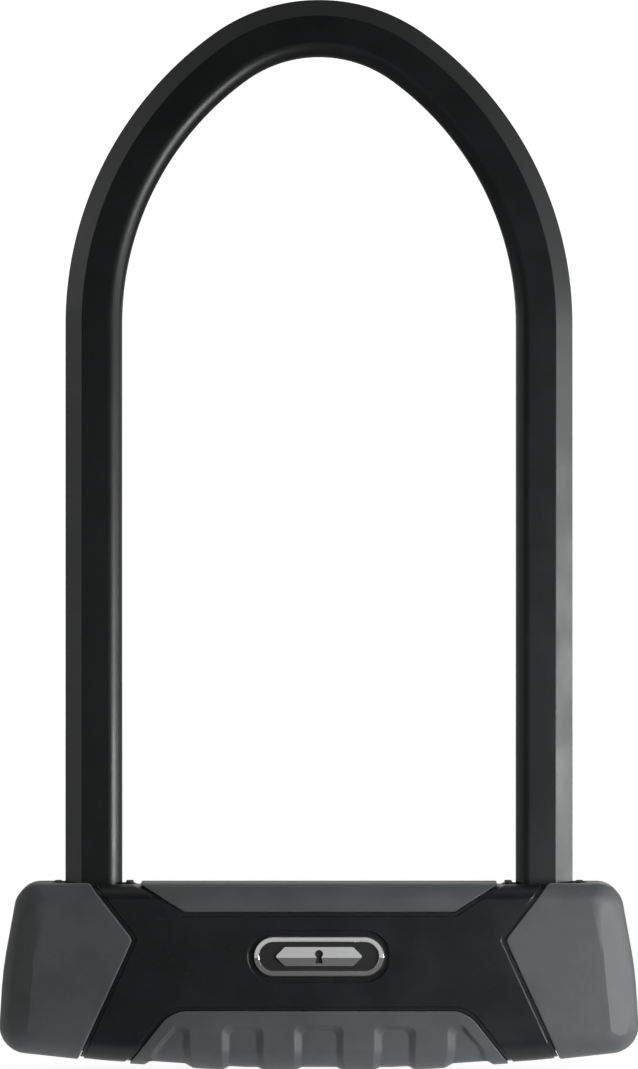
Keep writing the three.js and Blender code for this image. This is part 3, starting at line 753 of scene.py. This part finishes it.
@dataclass
class Crossbar:
    """The covers of the crossbar, all cut from one rounded form.

    Attributes:
        top: Its height.
        half_depth: Half its depth.
        wall: Thickness of the covers.
        groove: Width of the grooves between them.
        shelf: How deep the black shelf lies that closes the grooves.
        play: The gap between that shelf and the grey pieces.
        sunk: How far the black cover lies below the grey pieces.
        half_length: Half its length.
        rounding: Rounding from the outline to the front and back.
        end_extra: How much farther the rounding reaches in at the ends.
        bottom_extra: How much farther it reaches up at the bottom than down at the top, halved.
        outline: Right half of the outline in X and Z, from the bottom's middle.
        end: The end cap's region on the right.
        strip: The top strip's region.
        grip: The grip strip's region.
        band: Where, as X and Z, the front bends back towards the ends: a higher and a lower place.
        band_angle: Degrees by which it bends back.
        band_reach: Forms set in by less than this have the bands.
        seat: Half the opening for a leg's collar.
        pocket_top: Top of the finger pockets.
        pocket_depth: Their depth.
        pocket_slope: How far a pocket's side walls lean in, per depth.
        pocket_lean: The same for its top wall.
        port: Radius of the keyhole.
    """

    top: float = 51.7
    half_depth: float = 19.0
    wall: float = 2.2
    groove: float = 1.25
    shelf: float = 0.8
    play: float = 0.12
    sunk: float = 0.4
    half_length: float = 87.9
    rounding: float = 5.6
    end_extra: float = 3.4
    bottom_extra: float = 0.6
    outline: list[Corner] = field(default_factory=lambda: [
        (20.0, 0.0, 0.0), (30.0, 0.53, 90.0), (60.0, 2.6, 90.0), (88.4, 5.7, 7.6), (87.0, 28.0, 80.0),
        (82.7, 51.7, 6.7)])
    end: list[Corner] = field(default_factory=lambda: [
        (72.4, -10.0, 0.0), (110.0, -10.0, 0.0), (110.0, 70.0, 0.0), (77.5, 70.0, 0.0), (63.2, 51.7, 0.0),
        (51.2, 36.3, 2.0), (66.4, 3.1, 0.0)])
    strip: list[Corner] = field(default_factory=lambda: [
        (37.2, 43.9, 1.5), (49.4, 51.7, 0.0), (60.0, 58.5, 0.0), (-60.0, 58.5, 0.0), (-49.4, 51.7, 0.0),
        (-37.2, 43.9, 1.5)])
    grip: list[Corner] = field(default_factory=lambda: [
        (60.2, -8.0, 0.0), (40.7, 16.6, 8.0), (-40.7, 16.6, 8.0), (-60.2, -8.0, 0.0)])
    band: tuple[tuple[float, float], tuple[float, float]] = ((77.0, 44.0), (80.2, 10.0))
    band_angle: float = 17.0
    band_reach: float = 1.0
    seat: float = 11.3
    pocket_top: float = 12.8
    pocket_depth: float = 1.1
    pocket_slope: float = 1.7
    pocket_lean: float = 1.25
    port: float = 5.8

    def form(self, name: str, inset: float, segments: int = 10) -> Object:
        """The crossbar's rounded form, set in on every side.

        Args:
            name: Name of the object.
            inset: How far every side is set in.
            segments: Faces across the roundings.

        Returns:
            The closed solid.
        """
        full = self.outline + mirrored(self.outline)
        corners = [(u, v, max(radius - inset, 0.0)) for u, v, radius in offset(full, -inset)]
        radius = self.rounding - inset
        flat = self.half_depth - self.rounding
        obj = block(name, corners, Axis.Y, -flat, flat)
        with editing(obj):
            for side in (-1, 1):
                pick_flat(obj, Axis.Y, side * flat)
                for step in range(segments):
                    self.round_step(radius, step / segments, (step + 1) / segments)
            if inset < self.band_reach:
                self.bend_ends(inset)
        return obj

    def bend_ends(self, inset: float) -> None:
        """Cuts the slanted bands at both ends, front and back, in edit mode."""
        (high_x, high_z), (low_x, low_z) = self.band
        run = Vector((high_z - low_z, low_x - high_x)).normalized()
        lean = math.radians(self.band_angle)
        for side in (-1, 1):
            for face in (-1, 1):
                outwards = Vector((side * run.x * math.sin(lean), face * math.cos(lean),
                                   run.y * math.sin(lean)))
                place = Vector((side * high_x, face * self.half_depth, high_z)) - outwards * inset
                bpy.ops.mesh.select_all(action="SELECT")
                bpy.ops.mesh.bisect(plane_co=place, plane_no=outwards, use_fill=True, clear_outer=True)

    def round_step(self, radius: float, start: float, end: float) -> None:
        """Draws the selected front or back face in and out by one step of its rounding, in edit mode.

        Args:
            radius: Radius of the rounding.
            start: Where the step starts, as a share of a quarter turn.
            end: Where it ends.
        """
        before, after = (share * math.pi / 2 for share in (start, end))
        drawn = math.cos(before) - math.cos(after)
        bpy.ops.mesh.inset(thickness=radius * drawn, depth=radius * (math.sin(after) - math.sin(before)),
                           use_even_offset=True)
        length = self.half_length - self.rounding
        bpy.ops.transform.resize(value=(1 - self.end_extra * drawn / length, 1.0, 1.0),
                                 center_override=(0.0, 0.0, 0.0))
        bpy.ops.transform.translate(value=(0.0, 0.0, self.bottom_extra * drawn))

    def through(self, name: str, corners: Sequence[Corner]) -> Object:
        """A region's prism, through the crossbar from front to back."""
        return block(name, corners, Axis.Y, -30.0, 30.0)

    def cover(self, name: str, regions: Sequence[Sequence[Corner]], outer: Object,
              inner: Object) -> Object:
        """A cover cut from the form.

        Args:
            name: Name of the cover.
            regions: The cover is what these regions have in common.
            outer: The form of its outside.
            inner: The form of its inside.

        Returns:
            The cover, before its edges are softened.
        """
        obj = copy_of(outer, name)
        for region in regions:
            combine(obj, self.through("region", region), Cut.COMMON)
        combine(obj, inner, keep=True)
        return obj

    def seat_cutter(self, side: int) -> Object:
        """The opening for a leg's collar."""
        return block("seat", square(self.seat, 5.2, side * Bow.leg_x), Axis.Z, self.top - 6.0, self.top + 6.0)

    def pocket(self, near: float, far: float, bottom: float) -> Object:
        """A finger pocket's cutter: down the front, round under the crossbar and up the back.

        Args:
            near: Its left side, at the surface.
            far: Its right side, at the surface.
            bottom: Level of the crossbar's underside there.

        Returns:
            The closed solid, deeper than the pocket.
        """
        out, deep = -1.0, 1.6
        bend = self.rounding + self.bottom_extra
        front = -self.half_depth
        lean = self.pocket_slope
        section = [(near + lean * out, front + out, 0.0), (far - lean * out, front + out, 0.0),
                   (far - lean * deep, front + deep, 0.0), (near + lean * deep, front + deep, 0.0)]
        obj = block("pocket", section, Axis.Z, self.pocket_top, bottom + bend)
        turn = {"steps": 14, "angle": math.pi / 2, "axis": (-1.0, 0.0, 0.0), "use_auto_merge": False}
        with editing(obj):
            pick_flat(obj, Axis.Z, bottom + bend)
            bpy.ops.mesh.spin(center=(0.0, front + bend, bottom + bend), **turn)
            draw_out((0.0, -2 * (front + bend), 0.0))
            bpy.ops.mesh.spin(center=(0.0, -front - bend, bottom + bend), **turn)
            draw_out((0.0, 0.0, self.pocket_top - bottom - bend))
            for depth in (out, deep):
                level = self.half_depth - depth
                pick(obj, Part.VERT, lambda vertex, level=level: abs(vertex.co.z - self.pocket_top) < NEAR
                     and abs(abs(vertex.co.y) - level) < NEAR)
                bpy.ops.transform.translate(value=(0.0, 0.0, -self.pocket_lean * depth))
            # The slanted edges at the two ends of each top wall, which are the only ones up there to climb.
            pick(obj, Part.EDGE, lambda edge: abs(edge.verts[0].co.z - edge.verts[1].co.z) > 1.0
                 and all(vertex.co.z > self.pocket_top - 3.0 for vertex in edge.verts))
            bpy.ops.mesh.bevel(offset=1.7, segments=5, profile=0.5, affect="EDGES", clamp_overlap=False)
            close_up()
        return obj

    def ridge(self, side: int, face: int) -> Object:
        """The slanted ridge beside an outer pocket, on the front or the back, with its sloped wall."""
        deep, out, slope = 2.6, 2.0, 1.08
        near = [(40.3, self.pocket_top + 1.5, 0.0), (55.7, -3.0, 0.0), (70.0, -3.0, 0.0), (70.0, 20.0, 0.0),
                (38.0, 20.0, 0.0)]
        obj = block("ridge", near if side > 0 else mirrored(near), Axis.Y, face * (self.half_depth + out),
                    face * (self.half_depth - deep))
        with editing(obj):
            pick(obj, Part.VERT, lambda vertex: abs(vertex.co.x) < 60.0
                 and abs(abs(vertex.co.y) - self.half_depth + deep) < NEAR)
            bpy.ops.transform.translate(value=(-side * (slope * (deep + out)), 0.0, 0.0))
        return obj

    def build(self, finishes: Finishes) -> None:
        """Makes every cover."""
        grey, black = finishes["grey_soft_plastic"], finishes["black_cover_plastic"]
        outer = self.form("outer_form", 0.0)
        lower = self.form("lower_form", self.sunk)
        inner = self.form("inner_form", self.wall, 6)
        for word, side in SIDES:
            region = self.end if side > 0 else mirrored(self.end)
            cap = self.cover(f"cap_{word}", [region], outer, inner)
            combine(cap, self.seat_cutter(side))
            soften(cap, 0.5, sharpest=25.0)
            deliver(cap, "crossbar", "grey_soft_plastic", grey, f"end_cap_{word}", angle=14.0)
        strip = self.cover("strip_top", [self.strip], outer, inner)
        soften(strip, 0.5)
        deliver(strip, "crossbar", "grey_soft_plastic", grey, "top_strip")
        self.build_grip(outer, inner, grey)
        self.build_cross(lower, inner, black)
        for form in (outer, lower, inner):
            bpy.data.objects.remove(form)

    def build_grip(self, outer: Object, inner: Object, material: Material) -> None:
        """The grip strip, with its finger pockets and the keyhole."""
        grip = self.cover("strip_grip", [self.grip], outer, inner)
        floor = self.form("pocket_floor", self.pocket_depth, 8)
        inner_edge, outer_edge = (0.2, 15.3, 26.6), (1.3, 35.5, 48.8)
        bands = [(-6.7, 6.7, 0.0)]
        for bottom, near, far in (inner_edge, outer_edge):
            bands += [(near, far, bottom), (-far, -near, bottom)]
        for near, far, bottom in bands:
            pocket = self.pocket(near, far, bottom)
            if bottom == outer_edge[0]:
                side = 1 if near > 0 else -1
                for face in (-1, 1):
                    combine(pocket, self.ridge(side, face))
            combine(pocket, floor, keep=True)
            combine(grip, pocket)
        bpy.data.objects.remove(floor)
        combine(grip, rod("port", self.port, Axis.Z, -3.0, 6.0))
        soften(grip, 0.35, sharpest=20.0)
        deliver(grip, "crossbar", "grey_soft_plastic", material, "grip_strip")

    def build_cross(self, outer: Object, inner: Object, material: Material) -> None:
        """The black cover's front and rear halves."""
        whole = self.cover("cross", [], outer, inner)
        shelf = self.form("shelf_form", self.shelf, 8)
        bed = self.form("bed_form", self.wall - 0.3, 6)
        flange = self.cover("flange", [], shelf, bed)
        for region in (self.end, mirrored(self.end), self.strip, self.grip):
            combine(whole, self.through("gap", offset(region, self.groove)))
            combine(flange, self.through("gap", offset(region, self.play)))
        combine(whole, flange, Cut.JOIN)
        for form in (shelf, bed):
            bpy.data.objects.remove(form)
        for side in (-1, 1):
            combine(whole, self.seat_cutter(side))
        depth, parting = 80.0, 0.1
        for word, side in (("front", -1), ("rear", 1)):
            half = copy_of(whole, f"cross_{word}")
            keep = rectangle(240.0, depth, 0.0, 0.0, side * (depth / 2 + parting))
            combine(half, block("half", keep, Axis.Z, -20.0, 80.0), Cut.COMMON)
            if side < 0:
                tall = Badge.tall + 3.6
                pill = rectangle(Badge.long + 3.4, tall, tall / 2 - 0.02, 0.0, Badge.z)
                combine(half, block("recess", pill, Axis.Y, -self.half_depth - 2.0, -self.half_depth + 1.4))
            soften(half, 0.2)
            deliver(half, "crossbar", "black_cover_plastic", material, f"cross_cover_{word}")
        bpy.data.objects.remove(whole)


@dataclass
class Collar:
    """The rubber collar round a leg.

    Attributes:
        half: Half its width.
        low: Its lowest level.
        brim: Level of its flat brim.
        lip: Level of the lips along its two sides.
        lip_width: Width of a lip.
        lip_length: Length of a lip, along the crossbar's depth.
        fit: Half the opening where it wipes the sleeve.
        mouth: Half the opening at the top.
        sink: Depth of that opening's step, and of a lip's root.
        over: A level above the collar, where its cutters end.
    """

    half: float = 11.0
    low: float = 49.5
    brim: float = 51.25
    lip: float = 52.1
    lip_width: float = 2.0
    lip_length: float = 15.0
    fit: float = 8.1
    mouth: float = 8.9
    sink: float = 0.6
    over: float = 60.0

    def build(self, word: str, side: int, material: Material) -> None:
        """Makes one collar: a square ring with a sunk inner step and a lip on either side of the leg."""
        x = side * Bow.leg_x
        ring = block(f"collar_{word}", square(self.half, 5.0, x), Axis.Z, self.low, self.brim)
        for way in (-1, 1):
            middle = x + way * (self.half - self.lip_width / 2 - 0.1)
            lip = rectangle(self.lip_width, self.lip_length, 0.9, middle)
            combine(ring, block("lip", lip, Axis.Z, self.brim - self.sink, self.lip), Cut.JOIN)
        for name, half, radius, low in (("mouth", self.mouth, 3.9, self.brim - self.sink),
                                        ("fit", self.fit, 3.4, 40.0)):
            combine(ring, block(name, square(half, radius, x), Axis.Z, low, self.over))
        soften(ring, 0.25)
        deliver(ring, "crossbar", "seal_rubber", material, f"leg_seal_{word}")


@dataclass
class Badge:
    """The pill-shaped badge, with a plain keyhole in a bar.

    Attributes:
        z: Level of its middle.
        long: Length of the rim.
        tall: Height of the rim.
        band: Width of the rim's band.
        floor: Level, along Y, of the recess it lies in.
        ridge: How far below the middle the front's ridge runs.
        fall: How far the front falls away from its ridge to the rim's edge.
    """

    z: float = 31.7
    long: float = 35.7
    tall: float = 10.7
    band: float = 1.35
    floor: float = -17.6
    ridge: float = 0.35
    fall: float = 0.5

    def crown(self, front: float) -> Object:
        """A roof along X whose two slopes give a piece its crowned front."""
        half = self.tall / 2 + 1.0
        slope = self.fall / (self.tall / 2)
        z = self.z - self.ridge
        profile = [(front, z, 0.0), (front + half * slope, z - half, 0.0), (0.0, z - half, 0.0),
                   (0.0, z + half + 1.0, 0.0), (front + (half + 1.0) * slope, z + half + 1.0, 0.0)]
        return block("crown", profile, Axis.X, -30.0, 30.0)

    def pill(self, name: str, grow: float, low: float, high: float) -> Object:
        """A pill as large as the rim, grown all round."""
        tall = self.tall + 2 * grow
        corners = rectangle(self.long + 2 * grow, tall, tall / 2 - 0.02, 0.0, self.z)
        return block(name, corners, Axis.Y, low, high)

    def build(self, finishes: Finishes) -> None:
        """Makes the plate, the rim and the emblem."""
        plate = self.pill("badge_back", 0.4, self.floor - 0.7, self.floor - 0.05)
        soften(plate, 0.2, 2)
        deliver(plate, "crossbar", "black_case_plastic", finishes["black_case_plastic"], "badge_plate")
        front, back = self.floor - 1.6, self.floor - 0.75
        rim = self.pill("badge_band", 0.0, front, back)
        combine(rim, self.pill("middle", -self.band, self.floor - 5.0, self.floor + 5.0))
        combine(rim, self.crown(self.floor - 1.4), Cut.COMMON)
        soften(rim, 0.14)
        deliver(rim, "crossbar", "chrome", finishes["chrome"], "badge_rim", angle=9.0)
        tip, shoulder, half = 12.0, 9.4, 2.6
        bar = [(-tip, self.z, 0.6), (-shoulder, self.z - half, 0.6), (shoulder, self.z - half, 0.6),
               (tip, self.z, 0.6), (shoulder, self.z + half, 0.6), (-shoulder, self.z + half, 0.6)]
        emblem = block("badge_keyhole", bar, Axis.Y, front, back)
        eye, foot = self.z + 0.7, self.z - 1.9
        combine(emblem, rod("eye", 1.1, Axis.Y, -30.0, 0.0, 0.0, eye))
        slot = [(-1.0, foot, 0.0), (1.0, foot, 0.0), (0.5, eye, 0.0), (-0.5, eye, 0.0)]
        combine(emblem, block("slot", slot, Axis.Y, -30.0, 0.0))
        combine(emblem, self.crown(self.floor - 1.4), Cut.COMMON)
        deliver(emblem, "crossbar", "chrome", finishes["chrome"], "badge_emblem", angle=9.0)


@dataclass
class Shutter:
    """The sliding plate behind the keyhole.

    Attributes:
        low: Level of its underside.
        high: Level of its upper side.
        near: Its left end.
        far: Its right end.
        half: Half its width.
    """

    low: float = 2.9
    high: float = 4.1
    near: float = -8.0
    far: float = 12.0
    half: float = 7.5

    def build(self, material: Material) -> None:
        """Makes the plate, with a thumb dimple, two ribs beside it and the lug for its spring."""
        length = self.far - self.near
        outline = rectangle(length, 2 * self.half, 1.5, (self.near + self.far) / 2)
        plate = block("shutter_plate", outline, Axis.Z, self.low, self.high)
        combine(plate, rod("dimple", 2.6, Axis.Z, self.low - 1.0, self.low + 0.5))
        for x in (-3.9, 3.9):
            rib = block("rib", rectangle(0.7, 5.0, 0.3, x), Axis.Z, self.low - 0.3, self.low + 0.4)
            combine(plate, rib, Cut.JOIN)
        combine(plate, block("lug", rectangle(1.5, 3.2, 0.3, 11.25), Axis.Z, self.high - 0.4, 6.9), Cut.JOIN)
        soften(plate, 0.15, 2)
        deliver(plate, "shutter", "black_cover_plastic", material, "keyhole_shutter")


# ---------------------------------------------------------------- studio


@dataclass
class Studio:
    """A pale floor, soft lights and the camera.

    Attributes:
        distance: From the lock to the camera.
        eye: The camera's height.
        aim: Height of the middle of the view.
        view: Height of what the view takes in, at the lock.
        paper: Reflectance of the floor.
        glow: Light that the floor adds for the camera.
        rise: Light that the floor sends up close to the lock.
        front: Strength of the air in front of the lock.
        around: Strength of the air elsewhere.
        above: Share of that strength straight above.
        behind: Share of that strength straight behind.
        backdrop: Strength of the air for the camera.
        rise_fade: Distances along Y over which the light from the floor dies away.
        front_fade: Y of the directions over which the air brightens from the front.
        above_fade: Z of the directions over which it dims upwards.
        behind_fade: Y of the directions over which it dims backwards.
        sensor: Height of the camera's sensor, in millimetres.
    """

    distance: float = 3.5
    eye: float = 0.148
    aim: float = 0.1477
    view: float = 0.2954
    paper: float = 0.28
    glow: float = 0.9
    rise: float = 0.8
    front: float = 0.02
    around: float = 1.15
    above: float = 0.32
    behind: float = 0.5
    backdrop: float = 1.1
    rise_fade: tuple[float, float] = (0.012, 0.042)
    front_fade: tuple[float, float] = (-0.85, -0.1)
    above_fade: tuple[float, float] = (0.15, 0.85)
    behind_fade: tuple[float, float] = (0.1, 0.6)
    sensor: float = 24.0

    def camera(self) -> None:
        """Sets the camera in front of the lock, level with its middle."""
        bpy.ops.object.camera_add(location=(0.0, -self.distance, self.eye), rotation=(math.pi / 2, 0.0, 0.0))
        camera = bpy.context.object
        camera.data.sensor_fit = "VERTICAL"
        camera.data.sensor_height = self.sensor
        camera.data.lens = self.sensor * self.distance / self.view
        camera.data.shift_y = (self.aim - self.eye) / self.view
        camera.data.clip_start = 0.01
        bpy.context.scene.camera = camera

    def floor(self) -> None:
        """A broad pale floor, lit up for the camera so that it ends in no horizon."""
        bpy.ops.mesh.primitive_plane_add(size=12.0, location=(0.0, 0.0, 0.0))
        floor = bpy.context.object
        floor.name = "studio_floor"
        material, sheet = new_material("studio_paper")
        away = sheet.add("ShaderNodeSeparateXYZ", Vector=sheet.place()).outputs["Y"]
        near = sheet.ramp(sheet.math("ABSOLUTE", away), *self.rise_fade, self.rise, 0.0)
        seen = sheet.add("ShaderNodeLightPath").outputs["Is Camera Ray"]
        strength = sheet.math("MAXIMUM", near, sheet.math("MULTIPLY", seen, self.glow))
        paper = sheet.add("ShaderNodeBsdfPrincipled", Roughness=0.9, Base_Color=(*(self.paper,) * 3, 1.0),
                          Specular_IOR_Level=0.0, Emission_Color=WHITE, Emission_Strength=strength)
        sheet.add("ShaderNodeOutputMaterial", Surface=paper.outputs[0])
        floor.data.materials.append(material)

    def lamp(self, name: str, place: tuple[float, float, float], size: tuple[float, float], power: float,
             aim: tuple[float, float, float] = (0.0, 0.0, 0.1)) -> None:
        """A soft box that faces the lock, and isn't seen itself.

        Args:
            name: Name of the lamp.
            place: Where it stands.
            size: Its width and height.
            power: Its power in watts.
            aim: What it points at.
        """
        bpy.ops.object.light_add(type="AREA", location=place)
        lamp = bpy.context.object
        lamp.name = name
        lamp.data.shape = "RECTANGLE"
        lamp.data.size, lamp.data.size_y = size
        lamp.data.energy = power
        lamp.rotation_euler = (Vector(aim) - Vector(place)).to_track_quat("-Z", "Y").to_euler()
        lamp.visible_camera = False

    def air(self) -> None:
        """Even light from the sides, the back and above, with a dark stretch in front of the lock."""
        world = bpy.data.worlds.new("studio_air")
        world.use_nodes = True
        sheet = Sheet(world.node_tree)
        way = sheet.add("ShaderNodeSeparateXYZ", Vector=sheet.place("Generated")).outputs
        side = sheet.ramp(way["Y"], *self.front_fade, self.front, self.around)
        above = sheet.ramp(way["Z"], *self.above_fade, 1.0, self.above)
        behind = sheet.ramp(way["Y"], *self.behind_fade, 1.0, self.behind)
        even = sheet.math("MULTIPLY", sheet.math("MULTIPLY", side, above), behind)
        seen = sheet.add("ShaderNodeLightPath").outputs["Is Camera Ray"]
        strength = sheet.math("MAXIMUM", even, sheet.math("MULTIPLY", seen, self.backdrop))
        air = sheet.add("ShaderNodeBackground", Strength=strength, Color=WHITE)
        sheet.add("ShaderNodeOutputWorld", Surface=air.outputs[0])
        bpy.context.scene.world = world

    def build(self) -> None:
        """Sets up everything around the lock."""
        self.camera()
        self.floor()
        self.lamp("key_right", (0.27, -0.25, 0.03), (0.2, 0.13), 1.7, (0.06, 0.0, 0.015))
        self.lamp("strip_right", (0.9, 0.0, 0.07), (0.11, 0.15), 2.0, (0.06, 0.0, 0.06))
        self.lamp("card", (0.0, -0.6, 0.13), (0.22, 0.1), 0.04, (0.0, 0.0, 0.03))
        self.air()
        bpy.context.scene.view_settings.view_transform = "Standard"


def dress_frame(finishes: Finishes) -> None:
    """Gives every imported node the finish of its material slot."""
    for part in frame["record"]["subparts"]:
        node = frame["nodes"][part["node"]]
        for slot in node.material_slots:
            slot.material = finishes[part["material_slot"]]
        if not node.material_slots:
            node.data.materials.append(finishes[part["material_slot"]])


def main() -> None:
    """Builds the lock and its studio."""
    logging.basicConfig(level=logging.INFO, format="%(message)s")
    bpy.ops.object.select_all(action="DESELECT")
    Studio().build()
    effects = Effects()
    finishes = {slot: finish.make(effects) for slot, finish in FINISHES.items()}
    dress_frame(finishes)
    bow = Bow()
    bow.sleeve(finishes["black_sleeve"])
    bow.bar(finishes["hardened_steel"])
    Crossbar().build(finishes)
    for word, side in SIDES:
        Collar().build(word, side, finishes["seal_rubber"])
    Badge().build(finishes)
    Shutter().build(finishes["black_cover_plastic"])


if __name__ == "__main__":
    main()
